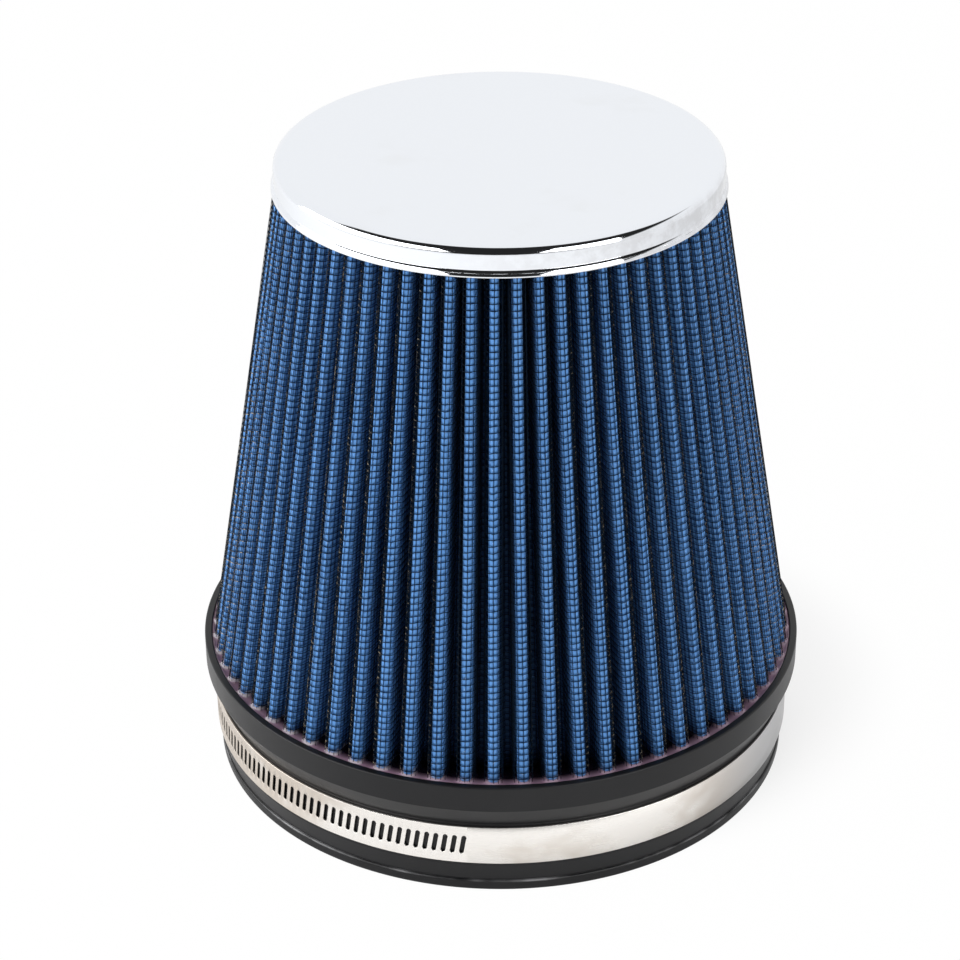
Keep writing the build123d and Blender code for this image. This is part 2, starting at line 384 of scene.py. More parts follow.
def gauze_finish():
    """Blue oiled cotton gauze that swells between the wires of the screen, with painted shade down the pleats.

    One unit of the surface coordinate is one opening of the screen, so the swell
    is the product of two sine arches, and the threads are streaks along the wires.
    Lint lies on the crowns, and the lower ends are frayed, more so to the left.
    """
    material, tree, place = new_material("gauze")
    deep_blue = (0.004, 0.037, 0.135)
    bright_blue = (0.140, 0.350, 0.760)
    pleat_painted_shade = (0.011, 0.021, 0.042)
    lint_grey = (0.55, 0.66, 0.82)
    frayed_white = (0.72, 0.69, 0.71)
    surface = tree.node("ShaderNodeUVMap", {"uv_map": "surface"})
    across, along, _ = surface.parts()
    swell = (across * math.pi).sine().size() * (along * math.pi).sine().size()
    threads = surface.stretched(5.0, 1.1, 1).noise(1, 3, 0.65)
    cells = surface.stretched(0.9, 0.9, 1).noise(1, 1, 0.4)
    dust = place.noise(45, 2, 0.5)
    # The swell lightens each opening's middle: partly the cloth's bulge, partly painted shade along the wires
    light = (
        0.75 * swell ** 0.6
        + 1.1 * (threads - 0.5)
        + 0.5 * (cells - 0.5)
        + 0.3 * (dust - 0.5)
        + 0.22
    )
    blue = light.ramp(0.0, 1.0).between(deep_blue, bright_blue)
    depth = point_value(tree, "depth")
    # painted shade: the cloth darkens down the pleats, standing in for the shade in them
    painted_shade = depth.ramp(0.16, 0.42, 0.0, 0.30) + depth.ramp(0.42, 0.80, 0.0, 0.42)
    lint = place.noise(2300, 1, 0.5).ramp(0.68, 0.78) * depth.ramp(0.05, 0.3, 0.6, 0.0)
    linted = lint.between(painted_shade.between(blue, pleat_painted_shade), lint_grey)
    fray = (1.0 - along + 3.2 * (place.noise(520, 2, 0.6) - 0.52)).ramp(0.0, 0.8)
    return finish_material(material, tree, {
        "Base Color": (fray * left_share(place)).between(linted, frayed_white),
        "Roughness": 0.6 - 0.15 * threads,
        "Specular IOR Level": 0.12,
        "Normal": (swell + 0.5 * threads).bump(0.3 * MM, 0.8),
    })


def wire_finish():
    """Blue-black coated wire, with bare bronze in spots on the pleats' outer sides as painted glints of the side
    lamps.
    """
    material, tree, place = new_material("screen_wire")
    coated = (0.002, 0.007, 0.015)
    bronze = (0.50, 0.42, 0.29)
    glint_side = point_value(tree, "glint_side")
    # painted glint: bare bronze only where the wire faces away to the side lamps
    bare_and_glint = (place.noise(1100, 2, 0.6) + 0.25 * glint_side).ramp(0.56, 0.72) * glint_side.ramp(0.04, 0.3)
    return finish_material(material, tree, {
        "Base Color": bare_and_glint.between(coated, bronze),
        "Metallic": bare_and_glint,
        "Roughness": 0.42 - 0.08 * bare_and_glint,
        "Specular IOR Level": 0.08,
    })


def resin_finish():
    """Glossy cast resin, pink-purple, paler where it creeps up what it holds, with painted shade down the pleats.
    """
    material, tree, place = new_material("resin")
    purple = (0.30, 0.16, 0.25)
    pink = (0.55, 0.38, 0.48)
    pale_pink = (0.80, 0.74, 0.77)
    pleat_painted_shade = (0.012, 0.006, 0.012)
    cloud = place.noise(120, 3, 0.6)
    pale = (point_value(tree, "shore") + 1.4 * (place.noise(420, 2, 0.6) - 0.5)).ramp(0.3, 0.9)
    # The pale creep is partly painted light: it is kept mostly to the left, where the main light falls
    cast = (pale * left_share(place)).between(cloud.between(purple, pink), pale_pink)
    return finish_material(material, tree, {
        # painted shade: the resin darkens inwards, where the pleats shade it
        "Base Color": point_value(tree, "deep_shade").between(cast, pleat_painted_shade),
        "Roughness": 0.16 + 0.2 * pale,
        "Normal": cloud.bump(0.4 * MM, 0.3),
    })


def stainless_finish():
    """Bright rolled strip with fine rolling lines along the band.

    It is stained warm to both sides, painted grey at the far right as a dim painted reflection, and painted dark
    in the slots as painted shade.
    """
    material, tree, place = new_material("stainless")
    bright = (0.99, 0.955, 0.91)
    tarnish = (0.60, 0.51, 0.42)
    painted_dim_grey = (0.55, 0.55, 0.56)
    slot_painted_shade = (0.03, 0.028, 0.026)
    x = place.parts()[0]
    lines = place.stretched(25, 25, 5200).noise(1, 3, 0.6)
    aside = x.size().ramp(0.03, 0.085, 0.0, 0.48)
    stain = (place.stretched(1, 1, 1.6).noise(34, 3, 0.6) + aside).ramp(0.51, 0.85)
    # painted reflection: the far right end is greyed as if it mirrored the shadowed floor
    face = x.ramp(0.05, 0.082, 0.0, 0.95).between((stain * 0.7).between(bright, tarnish), painted_dim_grey)
    return finish_material(material, tree, {
        # painted shade: the slot walls are painted near black
        "Base Color": (point_value(tree, "slot_wall") * 0.9).between(face, slot_painted_shade),
        "Metallic": 1.0,
        "Roughness": 0.2 + 0.12 * lines + 0.08 * stain,
        "Normal": lines.bump(0.02 * MM, 0.25),
    })


def plated_finish():
    """Zinc plated steel of the screw, slightly grey and uneven."""
    material, tree, place = new_material("plated_steel")
    dull_zinc = (0.50, 0.50, 0.50)
    bright_zinc = (0.66, 0.66, 0.67)
    cloud = place.noise(300, 3, 0.6)
    return finish_material(material, tree, {
        "Base Color": cloud.between(dull_zinc, bright_zinc),
        "Metallic": 1.0,
        "Roughness": 0.24 + 0.16 * cloud,
        "Normal": cloud.bump(0.05 * MM, 0.3),
    })


# Sizes that a finish follows
bead_height = 3.6 * MM
cap_edge = 2.8 * MM

chrome = chrome_finish()
rubber = rubber_finish()
gauze = gauze_finish()
wire = wire_finish()
resin = resin_finish()
stainless = stainless_finish()
plated = plated_finish()


# Rubber base

neck_wall = 11.8 * MM
bead_inset = 0.3 * MM
foot_inset = 0.8 * MM
foot_height = 5.4 * MM
flare_low = 23.95 * MM
flare_high = 30.75 * MM
rim_wall = 2.2 * MM
trough_wall = 1.6 * MM
bore_round = 1.5 * MM
bead_low_round = 1.0 * MM
bead_high_round = 0.8 * MM
foot_round = 0.12 * MM
neck_low_round = 0.4 * MM
neck_high_round = 1.2 * MM
rim_low_round = 0.5 * MM
rim_high_round = 0.45 * MM
trough_round = 0.3 * MM
neck_radius = bore_radius + neck_wall
bead_radius = neck_radius - bead_inset
foot_radius = neck_radius - foot_inset
trough_outer = rim_radius - rim_wall
trough_inner = bore_radius + trough_wall
trough_floor = resin_low.z
base_steps = 288


def rubber_neck():
    """The moulded base: its section, with a trough for the resin at the top, turned round the axis."""
    profile = [
        (bore_radius, 0, bore_round),
        (bead_radius, 0, bead_low_round),
        (bead_radius, bead_height, bead_high_round),
        (foot_radius, bead_height, foot_round),
        (neck_radius, bead_height + foot_height, neck_low_round),
        (neck_radius, flare_low, neck_high_round),
        (rim_radius, flare_high, rim_low_round),
        (rim_radius, rim_top, rim_high_round),
        (trough_outer, rim_top, trough_round),
        (trough_outer, trough_floor, trough_round),
        (trough_inner, trough_floor, trough_round),
        (trough_inner, resin_top, trough_round),
        (bore_radius, resin_top, trough_round),
    ]
    points = turned(rounded_outline(profile), base_steps)
    make_piece(
        "rubber_neck", [patch(points, wrap_rows=True, wrap_columns=True)],
        rubber, stands_for=["rubber_base"],
    )


rubber_neck()


# Pleats

pleat_count = 66
pleat_turn = math.radians(-91.25)
pleat_side_gap = 0.6 * MM
pleat_bore_gap = 0.3 * MM
pleat_cap_gap = 0.25 * MM
crown_width_low = 4.1 * MM
crown_width_high = 3.3 * MM
media_thickness = 1.0 * MM
cap_sheet = 0.7 * MM
hem_flare = 0.3 * MM
crown_radius_low = trough_outer - pleat_side_gap
crown_radius_high = cap_radius - hem_flare - cap_sheet - pleat_cap_gap
pleat_depth = crown_radius_low - trough_inner - pleat_bore_gap
crown_steps = 6
valley_steps = 3
level_wire_radius = 0.13 * MM
upright_wire_radius = 0.095 * MM
flank_slack = 0.42 * MM
crown_slack = 0.55 * MM
screen_spread = 0.72 * MM
screen_slant = 0.4 * MM
# Where on the crowns' sides the wires carry painted glints
glint_start = 0.08
glint_end = 0.55
glint_fade = 0.2
upright_glint_share = 0.4
wires_per_pleat = 15
wire_levels = 79
middle_wires_start = 28
upper_wires_start = 55
wire_corners = 4
cloth_rows = 25
cloth_flank_steps = 2
upright_rows = 11


def turn_plane(points, turn):
    """Points of the plane turned about the axis."""
    x, y = points[..., 0], points[..., 1]
    return np.stack([x * np.cos(turn) - y * np.sin(turn), x * np.sin(turn) + y * np.cos(turn)], -1)


def pleat_ring(crown_radius, crown_width, inset, crown_inset, flank_steps):
    """Outline of all the pleats at one end of the pack, in the plane.

    One pleat is a half round crown on its own bearing, a straight flank, a round
    valley on the bearing midway to the next pleat, and a flank back. The inset
    moves every face inwards from the outer face of the pack, and the crown's top
    has an inset of its own, so that its round can be an ellipse.
    """
    half_pitch = np.pi / pleat_count
    half_width = crown_width / 2 - inset
    crown_centre = crown_radius - crown_width / 2
    valley_floor = crown_radius - pleat_depth + media_thickness
    valley_centre = (valley_floor - crown_width / 2) / (1 - np.sin(half_pitch))
    valley_round = valley_centre * np.sin(half_pitch) - half_width
    crown_bearing = np.linspace(-np.pi / 2, np.pi / 2, crown_steps + 1)
    valley_bearing = np.linspace(np.pi * 1.5, np.pi / 2 + 2 * half_pitch, valley_steps + 1)
    crown_height = crown_width / 2 - crown_inset
    crown = np.stack([crown_height * np.cos(crown_bearing), half_width * np.sin(crown_bearing)], -1)
    crown = crown + np.array([crown_centre, 0])
    valley = valley_centre * np.array([np.cos(half_pitch), np.sin(half_pitch)])
    valley = valley + valley_round * np.stack([np.cos(valley_bearing), np.sin(valley_bearing)], -1)
    next_crown = turn_plane(crown[:1], 2 * half_pitch)
    share = np.linspace(0, 1, flank_steps + 1)[1:-1, None]
    flank_in = crown[-1] + share * (valley[0] - crown[-1])
    flank_out = valley[-1] + share * (next_crown[0] - valley[-1])
    pleat = np.concatenate([crown, flank_in, valley, flank_out])
    turns = pleat_turn + 2 * half_pitch * np.arange(pleat_count)
    return turn_plane(pleat[None], turns[:, None]).reshape(-1, 2)


def outward(ring):
    """Outward direction at each point of a closed ring: its tangent turned a quarter clockwise."""
    tangent = np.roll(ring, -1, 0) - np.roll(ring, 1, 0)
    tangent /= np.linalg.norm(tangent, axis=1, keepdims=True)
    return turn_plane(tangent, -np.pi / 2)


def settle(points, share):
    """Unevenness of the pleats: slow waves round the cone shift the bearing and the radius.

    The waves' counts don't divide the pleat count, so neighbours differ, and
    each wave leans with the share of the height. A wave of the pleat count slants
    the screen across each crown, more on some than on others. A slow wave and a
    fine one make its wires wander. All three fade at both ends.
    """
    x, y, z = points[..., 0], points[..., 1], points[..., 2]
    bearing = np.arctan2(y, x)
    shift = 0.0013 * np.sin(17 * bearing + 2.0 * share)
    shift += 0.0011 * np.sin(29 * bearing - 3.1 * share + 1.0)
    shift += 0.0006 * np.sin(43 * bearing + 5.3 * share + 2.2)
    radius = np.hypot(x, y) * (1 + 0.0009 * np.sin(23 * bearing + 4.0 * share))
    slant = np.sin(pleat_count * (bearing - pleat_turn)) * (0.6 + 0.4 * np.sin(7 * bearing + 6 * share))
    slant += 0.7 * np.sin(13 * bearing + 9 * share) * np.sin(5 * bearing)
    slant += 0.55 * np.sin(151 * bearing + 61 * share) * np.sin(31 * bearing - 47 * share)
    level = z + screen_slant * slant * np.sin(np.pi * np.clip(share, 0, 1))
    bearing = bearing + shift
    return np.stack([radius * np.cos(bearing), radius * np.sin(bearing), level], -1)


def pleat_depths(points, share):
    """How deep points lie in the pleats: 0 at the crowns, 1 at the valleys."""
    crown = crown_radius_low + (crown_radius_high - crown_radius_low) * share
    return np.clip((crown - np.hypot(points[..., 0], points[..., 1])) / pleat_depth, 0, 1)


def glint_sides(points, side, share):
    """How far a wire faces away to the left or the right of the filter, on the crowns' sides only, where the
    painted glints go.
    """
    x = points[..., 0]
    depth = pleat_depths(points, share)
    facing = np.clip(side[..., 0] * np.sign(x), 0, 1) * np.abs(x) / crown_radius_low
    below_crown = np.clip(depth / glint_start, 0, 1)
    return facing * below_crown * np.clip((glint_end - depth) / glint_fade, 0, 1)


def raised(low, high, share):
    """Points at a share of the height, on straight lines from the low ring to the high ring."""
    plane = low + (high - low) * share
    height = media_low.z + (media_high.z - media_low.z) * share
    height = np.broadcast_to(height, plane.shape[:-1] + (1,))
    return settle(np.concatenate([plane, height], -1), share[..., 0])


def screen_count(ring):
    """Wire count along a closed ring, whole numbers at the wires, one of them on each crown's middle.

    It grows with the length along the ring from the first crown's middle.
    """
    steps = np.linalg.norm(np.roll(ring, -1, 0) - ring, axis=1)
    run = np.concatenate([[0], np.cumsum(steps)])
    run = run - run[crown_steps // 2]
    return run / steps.sum() * wires_per_pleat * pleat_count


def both_rings(inset, crown_inset, flank_steps=1):
    """Low and high outlines of the pleats at one inset."""
    return (
        pleat_ring(crown_radius_low, crown_width_low, inset, crown_inset, flank_steps),
        pleat_ring(crown_radius_high, crown_width_high, inset, crown_inset, flank_steps),
    )


def pleat_cloth():
    """The folded gauze, a closed sheet: up its outer face and down its inner face."""
    outer_low, outer_high = both_rings(flank_slack, crown_slack, cloth_flank_steps)
    inner_low, inner_high = both_rings(media_thickness, media_thickness, cloth_flank_steps)
    share = np.linspace(0, 1, cloth_rows)[:, None, None]
    points = np.concatenate(
        [raised(outer_low, outer_high, share), raised(inner_low, inner_high, share[::-1])]
    )
    count = screen_count(outer_low)
    rise = np.concatenate([share, share[::-1], share[:1]]).reshape(-1, 1) * wire_levels
    across = np.broadcast_to(count, (2 * cloth_rows + 1, len(count)))
    along = np.broadcast_to(rise, across.shape)
    depth = pleat_depths(points, np.concatenate([share, share[::-1]])[..., 0])
    make_piece(
        "pleat_cloth", [patch(points[None], wrap_rows=True, wrap_columns=True, uv=(across, along))],
        gauze, stands_for=["pleated_media"], values={"depth": depth},
    )


def wire_section(outwards, aside):
    """Corners of a wire's section about its middle line, from two directions across the wire."""
    turn = np.arange(wire_corners)[:, None] * 2 * np.pi / wire_corners
    return np.cos(turn) * outwards + np.sin(turn) * aside


def level_wires(name, first, last):
    """Wires of the screen that run round the cone, each in and out of every pleat."""
    low, high = both_rings(level_wire_radius - screen_spread, level_wire_radius)
    share = (np.arange(first, last) / wire_levels)[:, None, None]
    path = raised(low, high, share)
    side = np.concatenate([outward(low), np.zeros((len(low), 1))], -1)
    down = np.array([0, 0, -1.0])
    points = path[:, :, None] + level_wire_radius * wire_section(side[:, None], down)
    glint_side = glint_sides(points, side[:, None], share)
    make_piece(
        name, [patch(points, wrap_rows=True, wrap_columns=True)],
        wire, values={"glint_side": glint_side},
    )


def part_way(ring, columns):
    """Points on a closed ring's straight runs, at columns that needn't be whole."""
    closed = np.concatenate([ring, ring[:1]])
    whole = np.arange(len(closed))
    return np.stack([np.interp(columns, whole, part) for part in closed.T], -1)


def upright_wires():
    """Wires of the screen that run up the cone, a fixed number to each pleat."""
    low, high = both_rings(upright_wire_radius - screen_spread, upright_wire_radius)
    count = screen_count(low)
    columns = np.interp(np.arange(wires_per_pleat * pleat_count), count, np.arange(len(count)))
    side = part_way(outward(low), columns)
    side = np.concatenate([side, np.zeros((len(side), 1))], -1)[:, None, None]
    along_ring = np.stack([-side[..., 1], side[..., 0], side[..., 2]], -1)
    share = np.linspace(0, 1, upright_rows)[None, :, None]
    path = raised(part_way(low, columns)[:, None], part_way(high, columns)[:, None], share)
    points = path[:, :, None] + upright_wire_radius * wire_section(side, along_ring)
    glint_side = upright_glint_share * glint_sides(points, side, share)
    make_piece(
        "screen_wires_upright", [patch(points, wrap_columns=True, ends="first last")],
        wire, values={"glint_side": glint_side},
    )


pleat_cloth()
level_wires("screen_wires_lower", 1, middle_wires_start)
level_wires("screen_wires_middle", middle_wires_start, upper_wires_start)
level_wires("screen_wires_upper", upper_wires_start, wire_levels)
upright_wires()


# Resin bed

resin_columns = 16 * pleat_count
resin_rows = 22
wall_creep = 0.5 * MM
pleat_creep = 0.8 * MM
creep_width = 0.5 * MM
wall_paleness = 0.35
shade_start = 1.2 * MM
shade_run = 3.0 * MM
casting_gap = 0.1 * MM
below_rim = 0.3 * MM


def resin_bed():
    """The lower resin ring: its top creeps up the rim's wall and up every pleat.

    The creep falls off with the distance from the wall and from the nearest
    pleat, whose section is a crown's circle with two flanks below it.
    """
    inner = trough_inner + casting_gap
    outer = trough_outer - casting_gap
    bearing = np.linspace(0, 2 * np.pi, resin_columns, endpoint=False)[None]
    radius = np.concatenate([[inner, outer], np.linspace(outer, inner, resin_rows)])[:, None]
    pitch = 2 * np.pi / pleat_count
    off_crown = ((bearing - pleat_turn + pitch / 2) % pitch - pitch / 2) * radius
    crown_centre = crown_radius_low - crown_width_low / 2
    past_crown = np.maximum(radius - crown_centre, 0)
    gap = np.maximum(np.hypot(off_crown, past_crown) - crown_width_low / 2, 0)
    wall_gap = np.broadcast_to(outer - radius, gap.shape)
    at_pleat = np.exp(-gap / creep_width)
    at_wall = np.exp(-wall_gap / creep_width)
    height = np.minimum(resin_top + pleat_creep * at_pleat + wall_creep * at_wall, rim_top - below_rim)
    height[:2] = resin_low.z
    points = np.stack([radius * np.cos(bearing), radius * np.sin(bearing), height], -1)
    settled = settle(points, np.zeros_like(height))
    keep_radius = np.hypot(points[..., 0], points[..., 1]) / np.hypot(settled[..., 0], settled[..., 1])
    settled[..., :2] *= keep_radius[..., None]
    # painted shade, growing inwards from the wall
    deep_shade = np.clip((outer - radius - shade_start) / shade_run, 0, 1)
    make_piece(
        "resin_bed", [patch(settled[None], wrap_rows=True, wrap_columns=True)],
        resin, stands_for=["base_potting"],
        values={
            "shore": np.maximum(at_pleat, wall_paleness * at_wall),
            "deep_shade": np.broadcast_to(deep_shade, gap.shape),
        },
    )


resin_bed()


# Cap

cap_inner_edge = 2.3 * MM
cap_skirt_sheet = 0.3 * MM
hem_lip = 0.35 * MM
hem_belly = 0.85 * MM
hem_shoulder = 1.45 * MM
hem_height = 1.85 * MM
hem_belly_reach = 0.15 * MM
hem_shoulder_reach = 0.45 * MM
hem_reach = 0.8 * MM
cap_steps = 288
cap_arc_steps = 8
skirt_radius = cap_radius - hem_reach
cap_inner = skirt_radius - cap_skirt_sheet
cap_inside = cap_top - cap_sheet
cap_eye = 0.4 * MM
hem_inner_round = 0.3 * MM
hem_foot_round = 0.1 * MM
hem_lip_round = 0.9 * MM
hem_belly_round = 3.2 * MM
hem_shoulder_round = 2.3 * MM
hem_top_round = 0.15 * MM
resin_round = 0.3 * MM
eye_round = 0.1 * MM
cap_guard = 0.05 * MM


def cap_shell():
    """The cap, one drawn sheet: flat top, rounded edge, skirt and rolled hem, turned round the axis."""
    profile = [
        (cap_eye, cap_inside, eye_round),
        (cap_inner, cap_inside, cap_inner_edge),
        (cap_inner, cap_foot + hem_height, hem_inner_round),
        (cap_radius - cap_sheet, cap_foot, hem_foot_round),
        (cap_radius, cap_foot, hem_foot_round),
        (cap_radius, cap_foot + hem_lip, hem_lip_round),
        (cap_radius - hem_belly_reach, cap_foot + hem_belly, hem_belly_round),
        (cap_radius - hem_shoulder_reach, cap_foot + hem_shoulder, hem_shoulder_round),
        (skirt_radius, cap_foot + hem_height, hem_top_round),
        (skirt_radius, cap_top, cap_edge),
        (cap_eye, cap_top, eye_round),
    ]
    points = turned(rounded_outline(profile, cap_arc_steps, closed=False, guard=cap_guard), cap_steps)
    make_piece(
        "cap_shell", [patch(points, wrap_columns=True, ends="first last")],
        chrome, stands_for=["top_cap"],
    )


def cap_resin():
    """The upper resin disc, its top edge rounded to lie in the cap, turned round the axis."""
    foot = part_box("top_potting")[0].z
    profile = [
        (cap_eye, foot, eye_round),
        (cap_inner, foot, resin_round),
        (cap_inner, cap_inside, cap_inner_edge),
        (cap_eye, cap_inside, eye_round),
    ]
    points = turned(rounded_outline(profile, cap_arc_steps, closed=False), cap_steps)
    make_piece(
        "cap_resin", [patch(points, wrap_columns=True, ends="first last")],
        resin, stands_for=["top_potting"],
    )


cap_shell()
cap_resin()


# Clamp band

band_width = band_high.z - band_low.z
band_thickness = 0.7 * MM
band_seat_gap = 0.05 * MM
band_lap_gap = 0.12 * MM
band_edge = 0.12 * MM
slot_width = 1.25 * MM
slot_height = 6.3 * MM
slot_pitch = 2.7 * MM
slot_lean = math.radians(-9.0)
slot_bevel = 0.12 * MM
slot_end_margin = 2.0 * MM
slot_side_steps = 8
slot_end_steps = 4
first_slot_bearing = math.radians(-97.1)
tail_length = 12.0 * MM
tail_corner = 3.0 * MM
tail_lift_run = math.radians(27.0)
edge_stations = 7
plain_stations = 200
tail_stations = 4
corner_stations = 10
housing_bearing = math.radians(-210.0)
housing_length = 14.0 * MM
strip_radius = neck_radius + band_seat_gap + band_thickness / 2
housing_half_turn = housing_length / 2 / strip_radius
plain_end_bearing = housing_bearing + housing_half_turn
lift_bearing = plain_end_bearing + tail_lift_run
lift_offset = (band_thickness + band_lap_gap) / (1 - math.cos(tail_lift_run))
lift_radius = strip_radius + lift_offset
tail_end_bearing = housing_bearing - housing_half_turn - tail_length / strip_radius
slotted_start = first_slot_bearing + slot_pitch / strip_radius
slotted_run = (slotted_start - lift_bearing) * strip_radius
tail_run = (lift_bearing - tail_end_bearing) * strip_radius
strip_run = slotted_run + tail_run
plain_run = (2 * math.pi + plain_end_bearing - slotted_start) * strip_radius
slot_count = int((strip_run - slot_pitch - slot_end_margin) / slot_pitch) + 1


def on_strip(run, rise, proud):
    """Place on the clamp strip, from a run, a rise and a height.

    The run goes clockwise from the slotted start, the rise is from the strip's
    middle, and the height stands proud of its middle line. On the neck the run is
    an arc about the filter's axis. Past the lift it is a wider arc about a centre
    moved the other way, tangent to the first, so the tail climbs over the strip's
    own plain end.
    """
    run, rise, proud = np.broadcast_arrays(run, rise, proud)
    lifted = run > slotted_run
    bearing = np.where(
        lifted, lift_bearing - (run - slotted_run) / lift_radius, slotted_start - run / strip_radius
    )
    radius = np.where(lifted, lift_radius, strip_radius) + proud
    offset = np.where(lifted, lift_offset, 0)
    return np.stack([
        radius * np.cos(bearing) - offset * math.cos(lift_bearing),
        radius * np.sin(bearing) - offset * math.sin(lift_bearing),
        band_middle + rise,
    ], -1)


def strip_section(half_width):
    """Section of the strip, clockwise seen along the run: a thin rectangle with rolled edges."""
    flat = half_width - band_edge
    half = band_thickness / 2
    turn = np.linspace(0, np.pi, edge_stations)
    bulge = np.sin(turn) * band_edge
    proud = np.cos(turn) * half
    rise = np.concatenate([flat + bulge, -flat - bulge], -1)
    return rise, np.concatenate([proud, -proud])


def swept_strip(runs, half_widths):
    """The strip's section carried along a run, with its own half width at each station."""
    rise, proud = strip_section(half_widths[:, None])
    return on_strip(runs[:, None], rise, proud)[None]


def slot_cells():
    """The slotted stretch, one cell to each slot, and which of its points are in the slot.

    A cell runs from its rectangle on the outer face to the slot's rounded edge,
    through the strip, and out to the rectangle on the inner face. Points go round
    the rectangle and the slot in step: up one side, over the end, down the other.
    """
    side = np.linspace(-1, 1, slot_side_steps + 1)[:-1]
    end = np.linspace(0, np.pi, slot_end_steps + 1)[:-1]
    over = np.linspace(1, -1, slot_end_steps + 1)[:-1]
    half_y = np.concatenate([side, np.ones(slot_end_steps)])
    half_box_x = np.concatenate([np.ones(slot_side_steps), over])
    half_hole_x = np.concatenate([np.ones(slot_side_steps), np.cos(end)])
    half_hole_y = np.concatenate([np.zeros(slot_side_steps), np.sin(end)])
    around_y = np.concatenate([half_y, -half_y])
    box_x = np.concatenate([half_box_x, -half_box_x]) * slot_pitch / 2
    box_y = around_y * (band_width / 2 - band_edge)
    hole_x = np.concatenate([half_hole_x, -half_hole_x])
    hole_y = np.concatenate([half_hole_y, -half_hole_y])
    core_y = around_y * ((slot_height - slot_width) / 2)

    def slot_edge(grow):
        x = hole_x * (slot_width / 2 + grow)
        y = core_y + hole_y * (slot_width / 2 + grow)
        return turn_plane(np.stack([x, y], -1), slot_lean).T

    half = band_thickness / 2
    rings = [
        (box_x, box_y, half, 0),
        (*slot_edge(slot_bevel), half, 0),
        (*slot_edge(0), half - slot_bevel, 1),
        (*slot_edge(0), -half, 1),
        (box_x, box_y, -half, 0),
    ]
    x, rise, proud, in_slot = (np.stack(part) for part in zip(*rings))
    centre = slot_pitch * (np.arange(slot_count) + 1)[:, None, None]
    points = on_strip(centre - x, rise, proud[:, None])
    return points, np.broadcast_to(in_slot[:, None], points.shape[:-1])


def strip_edges(runs):
    """The rolled edges above and below the slots, each half a section carried along the run."""
    rise, proud = strip_section(band_width / 2)
    half = len(rise) // 2
    upper = on_strip(runs[:, None], rise[:half], proud[:half])
    lower = on_strip(runs[:, None], rise[half:], proud[half:])
    return np.stack([upper, lower])


def clamp_strip():
    """The whole band: plain run, slotted stretch, and tail with its corners rounded off."""
    first_cell = slot_pitch / 2
    last_cell = slot_pitch * (slot_count + 0.5)
    corner_start = strip_run - tail_corner
    plain = np.linspace(-plain_run, first_cell, plain_stations)
    slotted = np.linspace(first_cell, last_cell, slot_end_steps * slot_count + 1)
    tail = np.concatenate([
        np.linspace(last_cell, corner_start, tail_stations)[:-1],
        corner_start + tail_corner * np.sin(np.linspace(0, np.pi / 2, corner_stations)),
    ])
    past = np.clip(tail - corner_start, 0, tail_corner)
    tail_half = band_width / 2 - tail_corner + np.sqrt(tail_corner**2 - past**2)
    plain_points = swept_strip(plain, np.full(len(plain), band_width / 2))
    slot_points, in_slot = slot_cells()
    edge_points = strip_edges(slotted)
    tail_points = swept_strip(tail, tail_half)
    plain_wall, edge_wall, tail_wall = (
        np.zeros(points[..., 0].size) for points in (plain_points, edge_points, tail_points)
    )
    make_piece(
        "clamp_strip",
        [
            patch(plain_points, wrap_columns=True, ends="first"),
            patch(slot_points, wrap_columns=True),
            patch(edge_points),
            patch(tail_points, wrap_columns=True, ends="last"),
        ],
        stainless, stands_for=["clamp_band"],
        values={"slot_wall": np.concatenate([plain_wall, in_slot.ravel(), edge_wall, tail_wall])},
    )


clamp_strip()


# Screw thread

screw_place = np.array(screw_joint["pos_m"])
screw_axis = np.array(screw_joint["axis"])
screw_axis = screw_axis / np.linalg.norm(screw_axis)
core_radius = 3.5 * MM
thread_depth = 0.9 * MM
thread_run = 10.6 * MM
thread_foot_half = 0.55 * MM
thread_crest_half = 0.25 * MM
thread_sink = 0.2 * thread_depth
thread_taper_turn = 1.2
thread_thinnest = 0.1
thread_stations = 160


def screw_thread():
    """The worm's ridge: a low trapezium carried along a helix on the screw's core, thin at its ends."""
    up = np.array([0, 0, 1.0])
    out = np.cross(up, screw_axis)
    turns = thread_run / slot_pitch
    angle = np.linspace(0, 2 * np.pi * turns, thread_stations)[:, None]
    section_run = np.array([-thread_foot_half, -thread_crest_half, thread_crest_half, thread_foot_half])
    section_height = np.array([-thread_sink, thread_depth, thread_depth, -thread_sink])
    taper = np.clip(np.minimum(angle, angle[-1] - angle) / thread_taper_turn, thread_thinnest, 1)
    radius = core_radius + section_height * taper
    run = angle / (2 * np.pi) * slot_pitch - thread_run / 2 + section_run
    points = (
        screw_place
        + run[..., None] * screw_axis
        + (radius * np.cos(angle))[..., None] * out
        + (radius * np.sin(angle))[..., None] * up
    )
    make_piece(
        "screw_thread", [patch(points[None], wrap_columns=True, ends="first last")],
        plated, body="screw",
    )


screw_thread()


# Nodes that keep their own shape

for node, material in (("clamp_housing", stainless), ("clamp_screw", plated)):
    mesh = frame["nodes"][node].data
    mesh.materials.clear()
    mesh.materials.append(material)


# Camera

camera_place = Vector((0.0006, -0.71907, 0.49621))
camera_pitch = 0.51773
camera_yaw = -0.0093
camera_roll = -0.00702
camera_lens = 103.036
camera_sensor = 36.0
camera_near = 0.01


